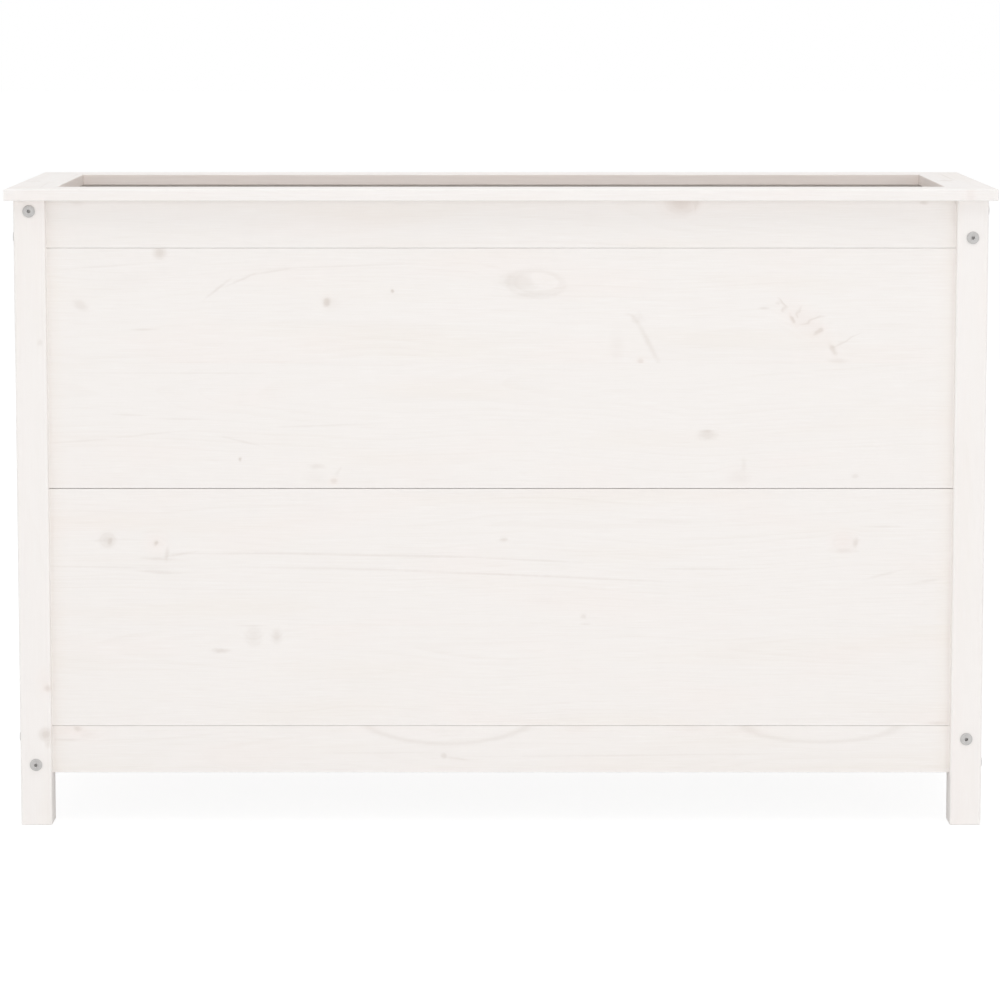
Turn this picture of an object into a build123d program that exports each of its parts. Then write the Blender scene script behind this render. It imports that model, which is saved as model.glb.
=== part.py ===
from build123d import *
from math import radians, tan
import os

# Raised garden bed in painted softwood. Sizes are in millimetres.
# Origin: the middle of the footprint, on the ground. +X along the bed, +Y to the back, +Z up.

# Cap: four flat boards, mitred at the corners
cap_length = 1195.0
cap_depth = 400.0
cap_width = 57.0
cap_thickness = 14.0
cap_overhang = 10.0
cap_arris = 1.5
mitre_gap = 0.3

# Legs
leg_size = 38.0
leg_height = 766.0
leg_arris = 2.5
foot_arris = 1.2

# Sides: rails and two broad boards, stacked with tongues and grooves
ground_clearance = 63.7
board_thickness = 18.0
board_setback = 10.0
rail_height = 58.0
rail_seam = 0.3
middle_seam = 0.7
board_arris = 0.6
tongue_thickness = 6.0
tongue_height = 5.0
tongue_side_clearance = 0.2
tongue_end_clearance = 0.5

# Connector bolts and barrel nuts
bolt_stagger = 16.0
lower_bolt_drop = 1.4
bolt_radius = 3.0
bolt_length = 70.0
bolt_tip_chamfer = 1.0
bolt_hole_radius = 3.5
bolt_hole_run_on = 2.0
bolt_head_radius = 7.5
bolt_head_height = 2.2
bolt_head_bevel_height = 0.9
bolt_head_bevel_width = 1.8
bolt_socket_width = 4.0
bolt_socket_depth = 4.5
nut_radius = 5.0
nut_length = 14.0
nut_from_rail_end = 25.0
nut_slot_width = 1.2
nut_slot_depth = 1.5

# Dowels
dowel_radius = 4.0
dowel_chamfer = 0.8
board_dowel_length = 30.0
board_dowel_inset = 75.0
board_dowel_stagger = 15.0
cap_dowel_length = 30.0
cap_dowel_grip = 8.0
leg_dowel_offset = 11.0
long_rail_dowel_spacing = 400.0
long_rail_dowel_count = 3
short_rail_dowel_spacing = 180.0
short_rail_dowel_count = 2

# Floor: slats across, on a cleat along each long side
cleat_thickness = 18.0
cleat_height = 28.0
cleat_lift = 4.0
cleat_arris = 1.0
slat_width = 58.0
slat_thickness = 14.0
slat_count = 17
slat_arris = 1.0
floor_clearance = 1.0

# Countersunk screws
cleat_screw_radius = 2.0
cleat_screw_head_radius = 4.0
cleat_screw_length = 30.0
cleat_screw_height = 9.0
cleat_screw_spacing = 180.0
cleat_screw_count = 6
slat_screw_radius = 1.75
slat_screw_head_radius = 3.5
slat_screw_length = 25.0
screw_tip_length = 4.0
screw_recess_width = 1.0
screw_recess_depth = 1.2
countersink_angle = 90.0

# Radial play of dowels, nuts and screws in their holes, and play past the end of each
fit_clearance = 0.05
end_clearance = 0.5

# Places worked out from the sizes
leg_outer_x = cap_length / 2 - cap_overhang
leg_outer_y = cap_depth / 2 - cap_overhang
board_inset = board_setback + board_thickness / 2
crossing_x = leg_outer_x - board_inset
crossing_y = leg_outer_y - board_inset
long_half = leg_outer_x - leg_size
short_half = leg_outer_y - leg_size
cap_outer = board_inset + cap_overhang

# Each side: the turn from the front side, its boards' distance from the middle, half its run
sides = {
    "front": (0, crossing_y, long_half),
    "right": (90, crossing_x, short_half),
    "back": (180, crossing_y, long_half),
    "left": (270, crossing_x, short_half),
}

# The dowels between a side's top rail and its cap board: how many, and how far apart
rail_dowels = {
    "front": (long_rail_dowel_count, long_rail_dowel_spacing),
    "right": (short_rail_dowel_count, short_rail_dowel_spacing),
    "back": (long_rail_dowel_count, long_rail_dowel_spacing),
    "left": (short_rail_dowel_count, short_rail_dowel_spacing),
}

# Each leg: the turn from the front left leg, and the corner that it stands at
legs = {
    "leg_front_left": (0, -1, -1),
    "leg_front_right": (90, 1, -1),
    "leg_back_right": (180, 1, 1),
    "leg_back_left": (270, -1, 1),
}

# Heights of the four members of a side: the broad boards share what the rails and seams leave
seams = 2 * rail_seam + middle_seam
broad_height = (leg_height - ground_clearance - 2 * rail_height - seams) / 2
top_rail_low = leg_height - rail_height
upper_board_high = top_rail_low - rail_seam
upper_board_low = upper_board_high - broad_height
lower_board_high = upper_board_low - middle_seam
lower_board_low = lower_board_high - broad_height
bottom_rail_high = lower_board_low - rail_seam
bottom_rail_low = bottom_rail_high - rail_height

members = {
    "top_rail": (top_rail_low, leg_height),
    "upper_board": (upper_board_low, upper_board_high),
    "lower_board": (lower_board_low, lower_board_high),
    "bottom_rail": (bottom_rail_low, bottom_rail_high),
}

upper_bolt_line = (top_rail_low + leg_height) / 2
lower_bolt_line = (bottom_rail_low + bottom_rail_high) / 2 - lower_bolt_drop
cleat_low = bottom_rail_low + cleat_lift
floor_low = cleat_low + cleat_height
floor_high = floor_low + slat_thickness
slat_length = 2 * (crossing_y - board_thickness / 2 - floor_clearance)
slat_field = 2 * (long_half - floor_clearance)
slat_pitch = (slat_field - slat_width) / (slat_count - 1)


def outward(side):
    return Vector(0, -1, 0).rotate(Axis.Z, sides[side][0])


def along(side):
    return Vector(1, 0, 0).rotate(Axis.Z, sides[side][0])


def section_plane(side):
    """Across the middle of a side: X points into the bed from the boards' mid-thickness, Y is up."""
    distance = sides[side][1]
    return Plane(origin=outward(side) * distance, x_dir=-outward(side), z_dir=along(side))


def end_plane(side, end):
    """On one end of a side's boards: X across their mid-thickness, Y up, Z out of the end grain."""
    distance, half = sides[side][1:]
    origin = outward(side) * distance + along(side) * (end * half)
    return Plane(origin=origin, x_dir=-outward(side) * end, z_dir=along(side) * end)


def inner_plane(side, depth=0.0):
    """On a side's inner face, or depth in front of it: X along the side, Y up, Z into the wood."""
    distance = sides[side][1] - board_thickness / 2 - depth
    return Plane(origin=outward(side) * distance, x_dir=along(side), z_dir=outward(side))


def cap_seat_plane(side):
    """On top of a side's boards: X along the side, Y into the bed, Z up."""
    distance = sides[side][1]
    origin = outward(side) * distance + Vector(0, 0, leg_height)
    return Plane(origin=origin, x_dir=along(side), z_dir=(0, 0, 1))


def leg_plane(leg):
    """On the ground, where the mid-planes of the two sides that meet at a leg cross."""
    turn, side_x, side_y = legs[leg]
    origin = (side_x * crossing_x, side_y * crossing_y, 0)
    return Plane(origin=origin, x_dir=Vector(1, 0, 0).rotate(Axis.Z, turn), z_dir=(0, 0, 1))


def bolt_heights(end):
    """The bolts of a side's far end sit nearer the leg's ends than those of its near end."""
    return (upper_bolt_line + end * bolt_stagger, lower_bolt_line - end * bolt_stagger)


def board_dowel_heights(end):
    """Two dowels in each broad board's end, higher or lower at the far end than at the near end."""
    inset = board_dowel_inset + end * board_dowel_stagger
    return (
        upper_board_low + inset,
        upper_board_high - inset,
        lower_board_low + inset,
        lower_board_high - inset,
    )


def cap_dowel_places(side):
    """Along a side: the dowels in the top rail, and the one in the leg at the side's near end."""
    count, spacing = rail_dowels[side]
    in_rail = [spacing * (index - (count - 1) / 2) for index in range(count)]
    near_crossing = -(sides[side][2] + leg_size - board_inset)
    return in_rail, near_crossing + leg_dowel_offset


def side_member(side, member):
    """One rail or board of a side, with its groove below, its tongue above and its holes."""
    low, high = members[member]
    half = sides[side][2]
    with BuildPart() as timber:
        with BuildSketch(section_plane(side)):
            with Locations((0, (low + high) / 2)):
                RectangleRounded(board_thickness, high - low, board_arris)
            if member != "top_rail":
                with Locations((0, high)):
                    Rectangle(tongue_thickness, 2 * tongue_height)
            if member != "bottom_rail":
                groove_width = tongue_thickness + 2 * tongue_side_clearance
                groove_depth = tongue_height + tongue_end_clearance
                with Locations((0, low)):
                    Rectangle(groove_width, 2 * groove_depth, mode=Mode.SUBTRACT)
        extrude(amount=half, both=True)

        for end in (-1, 1):
            if member in ("top_rail", "bottom_rail"):
                height = bolt_heights(end)[0 if member == "top_rail" else 1]
                with BuildSketch(end_plane(side, end)):
                    with Locations((0, height)):
                        Circle(bolt_hole_radius)
                extrude(amount=-(bolt_length - leg_size + bolt_hole_run_on), mode=Mode.SUBTRACT)
                with BuildSketch(inner_plane(side)):
                    with Locations((end * (half - nut_from_rail_end), height)):
                        Circle(nut_radius + fit_clearance)
                extrude(amount=(board_thickness + nut_length) / 2, mode=Mode.SUBTRACT)
            else:
                heights = [h for h in board_dowel_heights(end) if low < h < high]
                with BuildSketch(end_plane(side, end)):
                    with Locations(*[(0, h) for h in heights]):
                        Circle(dowel_radius + fit_clearance)
                extrude(amount=-(board_dowel_length / 2 + end_clearance), mode=Mode.SUBTRACT)

        if member == "top_rail":
            in_rail = cap_dowel_places(side)[0]
            with BuildSketch(cap_seat_plane(side)):
                with Locations(*[(place, 0) for place in in_rail]):
                    Circle(dowel_radius + fit_clearance)
            depth = cap_dowel_length - cap_dowel_grip + end_clearance
            extrude(amount=-depth, mode=Mode.SUBTRACT)

        if member == "bottom_rail" and side in ("front", "back"):
            with BuildSketch(inner_plane(side, cleat_thickness)):
                with Locations((0, cleat_low + cleat_screw_height)):
                    with GridLocations(cleat_screw_spacing, 0, cleat_screw_count, 1):
                        Circle(cleat_screw_radius + fit_clearance)
            extrude(amount=cleat_screw_length + end_clearance, mode=Mode.SUBTRACT)
    return timber.part


def leg(name):
    """A leg in its own plane: bolts enter from its -X and -Y faces, boards butt on +X and +Y."""
    ground = leg_plane(name)
    middle = leg_size / 2 - board_inset
    inner_face = leg_size - board_inset
    across_x = Plane(origin=ground.from_local_coords((inner_face, 0, 0)), x_dir=ground.y_dir,
                     z_dir=ground.x_dir)
    across_y = Plane(origin=ground.from_local_coords((0, inner_face, 0)), x_dir=-ground.x_dir,
                     z_dir=ground.y_dir)
    with BuildPart() as post:
        with BuildSketch(ground):
            with Locations((middle, middle)):
                RectangleRounded(leg_size, leg_size, leg_arris)
        extrude(amount=leg_height)
        chamfer(post.faces().sort_by(Axis.Z)[0].edges(), foot_arris)

        for face, end in ((across_x, -1), (across_y, 1)):
            with BuildSketch(face):
                with Locations(*[(0, height) for height in bolt_heights(end)]):
                    Circle(bolt_hole_radius)
            extrude(amount=-leg_size, mode=Mode.SUBTRACT)
            with BuildSketch(face):
                with Locations(*[(0, height) for height in board_dowel_heights(end)]):
                    Circle(dowel_radius + fit_clearance)
            extrude(amount=-(board_dowel_length / 2 + end_clearance), mode=Mode.SUBTRACT)

        with BuildSketch(ground.offset(leg_height)):
            with Locations((leg_dowel_offset, 0)):
                Circle(dowel_radius + fit_clearance)
        extrude(amount=-(cap_dowel_length - cap_dowel_grip + end_clearance), mode=Mode.SUBTRACT)
    return post.part


def cap_board(side):
    """A cap board, mitred at both ends and drilled from below for its dowels."""
    distance, half = sides[side][1:]
    outer_half = half + leg_size + cap_overhang
    in_rail, in_leg = cap_dowel_places(side)
    with BuildPart() as board:
        with BuildSketch(section_plane(side)):
            with Locations((cap_width / 2 - cap_outer, leg_height + cap_thickness / 2)):
                RectangleRounded(cap_width, cap_thickness, cap_arris)
        extrude(amount=outer_half, both=True)
        for end in (-1, 1):
            corner = outward(side) * (distance + cap_outer) + along(side) * (end * outer_half)
            facing = (along(side) * end - outward(side)).normalized()
            mitre = Plane(origin=corner - facing * (mitre_gap / 2), z_dir=facing)
            split(bisect_by=mitre, keep=Keep.BOTTOM)
        with BuildSketch(cap_seat_plane(side)):
            with Locations(*[(place, 0) for place in in_rail + [in_leg]]):
                Circle(dowel_radius + fit_clearance)
        extrude(amount=cap_dowel_grip + end_clearance, mode=Mode.SUBTRACT)
    return board.part


def cleat(side):
    """A batten screwed to a long bottom rail, between the legs."""
    with BuildPart() as batten:
        with BuildSketch(section_plane(side)) as profile:
            with Locations(((board_thickness + cleat_thickness) / 2, cleat_low + cleat_height / 2)):
                Rectangle(cleat_thickness, cleat_height)
            chamfer(profile.vertices(), cleat_arris)
        extrude(amount=long_half - floor_clearance, both=True)
        face = inner_plane(side, cleat_thickness)
        drilling = Plane(origin=face.origin, x_dir=-face.x_dir, z_dir=-face.z_dir)
        with Locations(drilling):
            with Locations((0, cleat_low + cleat_screw_height)):
                with GridLocations(cleat_screw_spacing, 0, cleat_screw_count, 1):
                    CounterSinkHole(
                        radius=cleat_screw_radius + fit_clearance,
                        counter_sink_radius=cleat_screw_head_radius + fit_clearance,
                        depth=cleat_thickness,
                        counter_sink_angle=countersink_angle,
                    )
        with BuildSketch(Plane.XY.offset(floor_low)):
            with Locations(*slat_screw_places(side)):
                Circle(slat_screw_radius + fit_clearance)
        extrude(amount=-(slat_screw_length - slat_thickness + end_clearance), mode=Mode.SUBTRACT)
    return batten.part


def slat_centre(index):
    return (index - (slat_count - 1) / 2) * slat_pitch


def slat_screw_line(side):
    """Where the middle of a side's cleat lies, from front to back."""
    return outward(side).Y * (crossing_y - board_thickness / 2 - cleat_thickness / 2)


def slat_screw_places(side):
    return [(slat_centre(index), slat_screw_line(side)) for index in range(slat_count)]


def slat(index):
    """One floor slat, screwed down at both ends."""
    with BuildPart() as board:
        with BuildSketch(Plane.XZ) as profile:
            with Locations((slat_centre(index), (floor_low + floor_high) / 2)):
                Rectangle(slat_width, slat_thickness)
            chamfer(profile.vertices(), slat_arris)
        extrude(amount=slat_length / 2, both=True)
        ends = [(slat_centre(index), slat_screw_line(side), floor_high) for side in ("front", "back")]
        with Locations(*ends):
            CounterSinkHole(
                radius=slat_screw_radius + fit_clearance,
                counter_sink_radius=slat_screw_head_radius + fit_clearance,
                depth=slat_thickness,
                counter_sink_angle=countersink_angle,
            )
    return board.part


def screw(radius, head_radius, length):
    """A countersunk screw, its head flush with Z = 0 and its point down, with a cross recess."""
    head_height = (head_radius - radius) / tan(radians(countersink_angle / 2))
    with BuildPart() as fastener:
        with BuildSketch(Plane.XZ):
            Polygon(
                (0, 0),
                (head_radius, 0),
                (radius, -head_height),
                (radius, -(length - screw_tip_length)),
                (0, -length),
                align=None,
            )
        revolve(axis=Axis.Z)
        with BuildSketch(Plane.XY):
            Rectangle(head_radius, screw_recess_width)
            Rectangle(screw_recess_width, head_radius)
        extrude(amount=-screw_recess_depth, mode=Mode.SUBTRACT)
    return fastener.part


# Connector bolt: head on Z = 0, shank down
with BuildPart() as bolt:
    Cylinder(bolt_head_radius, bolt_head_height, align=(Align.CENTER, Align.CENTER, Align.MIN))
    rim = bolt.faces().sort_by(Axis.Z)[-1].edges()
    chamfer(rim, bolt_head_bevel_height, bolt_head_bevel_width)
    Cylinder(bolt_radius, bolt_length, align=(Align.CENTER, Align.CENTER, Align.MAX))
    chamfer(bolt.faces().sort_by(Axis.Z)[0].edges(), bolt_tip_chamfer)
    with BuildSketch(Plane.XY.offset(bolt_head_height)):
        RegularPolygon(bolt_socket_width / 2, 6, major_radius=False)
    extrude(amount=-bolt_socket_depth, mode=Mode.SUBTRACT)

# Barrel nut: centred on the origin, its length along Z and its threaded hole along X
with BuildPart() as nut:
    Cylinder(nut_radius, nut_length)
    Cylinder(bolt_radius + fit_clearance, 4 * nut_radius, rotation=(0, 90, 0), mode=Mode.SUBTRACT)
    with BuildSketch(Plane.XY.offset(nut_length / 2)):
        Rectangle(4 * nut_radius, nut_slot_width)
    extrude(amount=-nut_slot_depth, mode=Mode.SUBTRACT)

# Dowels: centred on the origin, along Z
with BuildPart() as board_dowel:
    Cylinder(dowel_radius, board_dowel_length)
    chamfer(board_dowel.edges(), dowel_chamfer)

with BuildPart() as cap_dowel:
    Cylinder(dowel_radius, cap_dowel_length)
    chamfer(cap_dowel.edges(), dowel_chamfer)

cleat_screw = screw(cleat_screw_radius, cleat_screw_head_radius, cleat_screw_length)
slat_screw = screw(slat_screw_radius, slat_screw_head_radius, slat_screw_length)

# Where the fasteners go
bolt_seats = []
nut_seats = []
board_dowel_seats = []
cap_dowel_seats = []
for side, (turn, distance, half) in sides.items():
    for end in (-1, 1):
        timber_end = end_plane(side, end)
        for height in bolt_heights(end):
            seat = timber_end.from_local_coords((0, height, leg_size))
            bolt_seats.append(Plane(origin=seat, x_dir=timber_end.x_dir, z_dir=timber_end.z_dir))
            middle = timber_end.from_local_coords((0, height, -nut_from_rail_end))
            nut_seats.append(Plane(origin=middle, x_dir=along(side), z_dir=-outward(side)))
        for height in board_dowel_heights(end):
            middle = timber_end.from_local_coords((0, height, 0))
            board_dowel_seats.append(Plane(origin=middle, z_dir=timber_end.z_dir))
    in_rail, in_leg = cap_dowel_places(side)
    for place in in_rail + [in_leg]:
        lift = cap_dowel_grip - cap_dowel_length / 2
        middle = cap_seat_plane(side).from_local_coords((place, 0, lift))
        cap_dowel_seats.append(Plane(origin=middle, z_dir=(0, 0, 1)))

cleat_screw_seats = []
slat_screw_seats = []
for side in ("front", "back"):
    face = inner_plane(side, cleat_thickness)
    for index in range(cleat_screw_count):
        place = (index - (cleat_screw_count - 1) / 2) * cleat_screw_spacing
        seat = face.from_local_coords((place, cleat_low + cleat_screw_height, 0))
        cleat_screw_seats.append(Plane(origin=seat, x_dir=face.x_dir, z_dir=-face.z_dir))
    for x, y in slat_screw_places(side):
        slat_screw_seats.append(Plane(origin=(x, y, floor_high), z_dir=(0, 0, 1)))

with BuildPart() as connector_bolts:
    with Locations(*bolt_seats):
        add(bolt.part)

with BuildPart() as barrel_nuts:
    with Locations(*nut_seats):
        add(nut.part)

with BuildPart() as board_end_dowels:
    with Locations(*board_dowel_seats):
        add(board_dowel.part)

with BuildPart() as cap_dowels:
    with Locations(*cap_dowel_seats):
        add(cap_dowel.part)

with BuildPart() as cleat_screws:
    with Locations(*cleat_screw_seats):
        add(cleat_screw)

with BuildPart() as slat_screws:
    with Locations(*slat_screw_seats):
        add(slat_screw)

# Every piece under its own name
pieces = {
    "connector_bolts": connector_bolts.part,
    "barrel_nuts": barrel_nuts.part,
    "board_end_dowels": board_end_dowels.part,
    "cap_dowels": cap_dowels.part,
    "cleat_screws": cleat_screws.part,
    "slat_screws": slat_screws.part,
}
for name in legs:
    pieces[name] = leg(name)
for side in sides:
    pieces["cap_" + side] = cap_board(side)
    for member in members:
        pieces[side + "_" + member] = side_member(side, member)
for side in ("front", "back"):
    pieces["cleat_" + side] = cleat(side)
for index in range(slat_count):
    pieces[f"slat_{index + 1:02d}"] = slat(index)

os.makedirs("parts", exist_ok=True)
for name, piece in pieces.items():
    piece.label = name
    export_step(piece, f"parts/{name}.step")
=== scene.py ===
from collections import namedtuple
import math
import random
import bpy
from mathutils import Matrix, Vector


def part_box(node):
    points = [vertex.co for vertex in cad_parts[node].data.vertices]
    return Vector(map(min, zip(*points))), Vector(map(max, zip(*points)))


# Raised garden bed in painted softwood: its finishes, the floor, the light and the camera.
# The scene is in metres. The finishes work in millimetres, in each timber's grain space:
# along the grain, across the wide face, and deep, through the timber.

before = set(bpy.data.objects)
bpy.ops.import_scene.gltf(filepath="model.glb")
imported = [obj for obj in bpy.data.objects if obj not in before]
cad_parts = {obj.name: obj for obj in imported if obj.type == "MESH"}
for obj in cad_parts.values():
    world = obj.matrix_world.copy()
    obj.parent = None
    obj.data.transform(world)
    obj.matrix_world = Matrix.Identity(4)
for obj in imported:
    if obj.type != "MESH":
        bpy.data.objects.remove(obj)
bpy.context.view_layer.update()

mm_per_metre = 1000.0

# Camera: across the bed's front, a little above it
camera_place = (-0.0012, -4.591, 1.0274)
camera_tilt = 5.942
camera_lens = 131.76
camera_sensor = 36.0
camera_shift = -0.137

# Light: a dome that is brighter at the horizon than overhead, and soft lamps given by place, size and watts
horizon_level = 0.81
zenith_level = 0.58
lamps = {
    "front": ((0.2, -5.6, 1.1), 2.6, 30.5),
    "left": ((-3.4, -3.8, 0.9), 2.2, 14.0),
    "right": ((3.4, -3.8, 0.9), 2.2, 16.0),
    "top": ((0.1, -1.3, 4.2), 2.8, 46.0),
    "back": ((0.3, 5.2, 1.3), 3.4, 50.0),
}
lamp_target = (0.0, 0.0, 0.45)

# Floor: what lights the bed, and what the camera sees of it
floor_half = 30.0
floor_bounce = 0.92
floor_shown = 0.2
floor_white = 0.88

# Paint of each kind of timber: its colour, how much grain shows through it, and its roughness
Coat = namedtuple("Coat", "colour grain roughness")
coats = {
    "board": Coat((0.895, 0.862, 0.838), 1.0, 0.55),
    "cap": Coat((0.900, 0.868, 0.846), 1.1, 0.52),
    "leg": Coat((0.905, 0.872, 0.850), 0.7, 0.52),
    "floor": Coat((0.850, 0.812, 0.778), 1.9, 0.68),
}

# What the paint lets through, and the colours of the painted shade and painted highlight noted below
wood_shadow = (0.62, 0.53, 0.44)
# The tan is also painted shade at the ends of boards and rails, where they meet the legs
tan_tone_and_end_shade = (0.84, 0.76, 0.66)
wood_pink = (0.93, 0.79, 0.74)
# The pale is also a painted highlight along the edges
pale_grain_and_edge_highlight = (0.97, 0.96, 0.95)
# Painted shade: the darker, warmer tone of the cap's inner edge
painted_inner_shade = (0.86, 0.72, 0.64)
knot_brown = (0.35, 0.25, 0.17)
bare_wood = (0.72, 0.60, 0.45)

# How far each mark takes the paint towards its colour
ring_share = 0.055
dash_share = 0.040
pale_dash_share = 0.14
fibre_share = 0.020
tan_share = 0.12
pink_share = 0.09
knot_share = 0.30
stain_share = 0.16
glue_share = 0.03
# Painted highlight along the edges
painted_edge_highlight_share = 0.30
worn_share = 0.10
# Painted shade at the ends of boards and rails, where they meet the legs
painted_end_shade_share = 0.10
# Painted shade on the cap's inner edge
painted_inner_shade_share = 0.35

# Relief under the paint, in millimetres
ring_ridge = 0.045
fibre_relief = 0.020
glue_step = 0.05
paint_stipple = 0.012

# How strongly the paint mirrors, and how much rougher each feature makes it
paint_sheen = 0.25
fibre_dulls = 0.03
tan_dulls = 0.05
knot_dulls = 0.08
edge_dulls = 0.06

# Patches of noise: their length along the grain and across it, in millimetres
wobble_patch = (7.0, 5.0)
bend_patch = (11.0, 9.0)
dash_patch = (38.0, 1.1)
fibre_patch = (16.0, 0.45)
tan_patch = (260.0, 34.0)
pink_patch = (150.0, 48.0)
pink_shift = (900.0, 400.0, 0.0)
worn_patch = (60.0, 9.0)
stipple_patch = (2.6, 2.2)
ripple_patch = (110.0, 22.0)
clear_patch = (190.0, 14.0)

# The noise level, between -1 and 1, at which a mark starts to show, and at which it shows in full
dark_dash_rise = (0.22, 0.50)
pale_dash_rise = (-0.24, -0.50)
tint_rise = (0.0, 0.7)
worn_rise = (0.35, 0.75)
clear_rise = (-0.30, 0.35)

# Growth rings: the range of their spacing, how far the pith sways across and dives deep along the timber
# and over what length, and how far the rings ripple, all in millimetres. dive_start cuts the dive from
# another stretch of the noise
ring_spacing = (3.4, 5.6)
sway_size = 26.0
sway_length = 420.0
dive_size = 16.0
dive_length = 520.0
dive_start = 50.0
ripple_size = 2.6

# A ring darkens over the first part of its year and pales again at the end. Most years are faint
late_wood_rise = (0.25, 0.88)
late_wood_fall = (1.0, 0.93)
year_power = 2.0
faintest = 0.2

# Where a stave's pith may lie: across, as a share of the half width; deep, in millimetres past the face;
# and the most that it climbs for each millimetre along
pith_off_middle = 0.35
pith_past_face = (14, 44)
pith_climb = 0.03

# Edges: where the painted highlight and wear along the edges, the painted shade at the ends of boards and
# rails and the painted shade on the cap's inner edge start to show and show in full, and how far the first
# two waver, in millimetres
edge_highlight_and_wear_reach = (2.2, 0.3)
edge_highlight_and_wear_waver = 0.8
end_shade_reach = (26.0, 2.0)
end_shade_waver = 5.0
inner_shade_reach = (0.6, 0.2)

# A knot, a streak or the loop of one growth ring: its place in the bed's frame, its half sizes and its
# tilt in degrees, all in the plane of the timber's wide face. Then the strength of a knot's rim, its
# core and the stain round it, how dark a streak is, or how wide a loop's line is and how dark. A streak
# below 0 lightens what lies under it
Knot = namedtuple("Knot", "along across long high tilt rim core stain")
Streak = namedtuple("Streak", "along across long high tilt dark")
Loop = namedtuple("Loop", "along across long high tilt line dark")

top_rail_knots = [
    Knot(217, 764, 18, 14, 0, 0.25, 0.75, 1.0),
    Knot(510, 763, 6, 3, 0, 0.0, 0.5, 0.1),
    Knot(-512, 762, 10, 4, 0, 0.0, 0.2, 0.0),
]
top_rail_streaks = [
    Streak(235, 759, 8, 2, 90, 0.3),
]
upper_board_knots = [
    Knot(-412.5, 702, 7.5, 7.5, 0, 0.20, 0.75, 0.3),
    Knot(-509, 639, 12, 7, -35, 0.0, 0.40, 0.1),
    Knot(-210.5, 642, 6, 6.5, 0, 0.0, 0.9, 0.3),
    Knot(-205, 640, 13, 10, 0, 0.0, 0.12, 0.1),
    Knot(-131, 656, 2.4, 2.6, 0, 0.0, 1.0, 0.0),
    Knot(22, 667, 30, 13, -6, 0.0, 0.38, 0.0),
    Knot(169, 570.5, 5, 4, 0, 0.0, 0.5, 0.8),
    Knot(353, 621, 7, 2.4, -60, 0.0, 0.8, 0.9),
    Knot(385, 607, 8, 3.2, 30, 0.0, 0.8, 0.9),
    Knot(368, 618, 30, 14, -42, 0.0, 0.12, 0.9),
    Knot(402, 585, 9, 4, -60, 0.0, 0.7, 0.2),
    Knot(251, 480, 14, 7, 0, 0.0, 0.50, 0.0),
    Knot(-317, 451, 2.6, 3, 0, 0.0, 1.0, 0.0),
    Knot(-203, 424, 5, 4, 0, 0.0, 0.5, 0.9),
    Knot(289, 428, 17, 12, 0, 0.0, 0.18, 0.3),
    Knot(430, 430, 5, 3.5, 0, 0.0, 0.35, 0.0),
]
upper_board_streaks = [
    Streak(-342, 659, 16, 1.6, 38, 0.40),
    Streak(-313, 670, 18, 1.4, 24, 0.35),
    Streak(-280, 679, 26, 1.3, 9, 0.30),
    Streak(-190, 686, 90, 1.2, 2, 0.24),
    Streak(-475, 686, 50, 1.3, 4, 0.22),
    Streak(-453, 668, 45, 9, 14, 0.10),
    Streak(-434, 609, 14, 1.3, 0, 0.35),
    Streak(-380, 556, 110, 1.0, 0, 0.18),
    Streak(140, 588, 8, 18, 0, 0.14),
    Streak(162, 624, 9, 4, -30, 0.30),
    Streak(178, 594, 31, 3, -62, 0.38),
    Streak(246, 586, 85, 17, 0, 0.05),
    Streak(40, 651.5, 25, 4, 4, 0.26),
    Streak(50, 669, 13, 6.5, -8, -0.34),
    Streak(295, 444, 3, 8, 0, 0.25),
    Streak(318, 635, 6, 1.3, 0, 0.50),
    Streak(339, 638, 8, 1.8, -50, 0.60),
    Streak(361, 630, 5, 2, 80, 0.45),
    Streak(377, 620, 13, 1.5, 20, 0.55),
    Streak(417, 595, 15, 1.2, 26, 0.40),
    Streak(408, 571, 10, 2.5, 0, 0.35),
    Streak(249, 485, 8, 1.8, 0, 0.50),
    Streak(-224, 442, 9, 3, 0, 0.40),
    Streak(-199, 434, 7, 1.8, 60, 0.25),
    Streak(-227, 428, 13, 9, 0, 0.12),
    Streak(-450, 505, 20, 1.5, -2, 0.26),
    Streak(-388, 500, 26, 1.3, -1, 0.24),
    Streak(-211, 492, 54, 1.2, 2, 0.24),
    Streak(-510, 473, 38, 1.2, 4, 0.22),
    Streak(-430, 481, 34, 1.2, 6, 0.22),
    Streak(-316, 473, 24, 1.4, -14, 0.26),
]
upper_board_loops = [
    Loop(42, 665, 34, 16.5, -4, 2.0, 0.16),
    Loop(44, 666, 27, 13, -4, 1.6, 0.12),
]
lower_board_knots = [
    Knot(-479, 351.5, 8.5, 8.5, 0, 0.30, 0.50, 0.1),
    Knot(-476, 350, 3.5, 6.5, -15, 0.0, 0.50, 0.0),
    Knot(-420, 348, 11, 10, 0, 0.0, 0.08, 1.0),
    Knot(-420, 347.5, 4, 3, 60, 0.0, 0.9, 0.4),
    Knot(3, 352, 5.5, 3.5, 0, 0.0, 0.55, 0.0),
    Knot(417, 349, 12, 10, 0, 0.10, 0.12, 1.0),
    Knot(432, 348, 4, 8, -10, 0.0, 0.55, 0.0),
    Knot(-302, 232, 9, 11, 0, 0.15, 0.30, 0.0),
    Knot(-274, 233, 6, 9, 0, 0.10, 0.50, 0.0),
    Knot(-343, 215, 12, 3.5, 0, 0.0, 0.6, 0.0),
    Knot(101, 257.5, 4.5, 4, 0, 0.0, 0.45, 0.0),
    Knot(533, 125, 16, 3, 0, 0.0, 0.5, 0.0),
]
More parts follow.
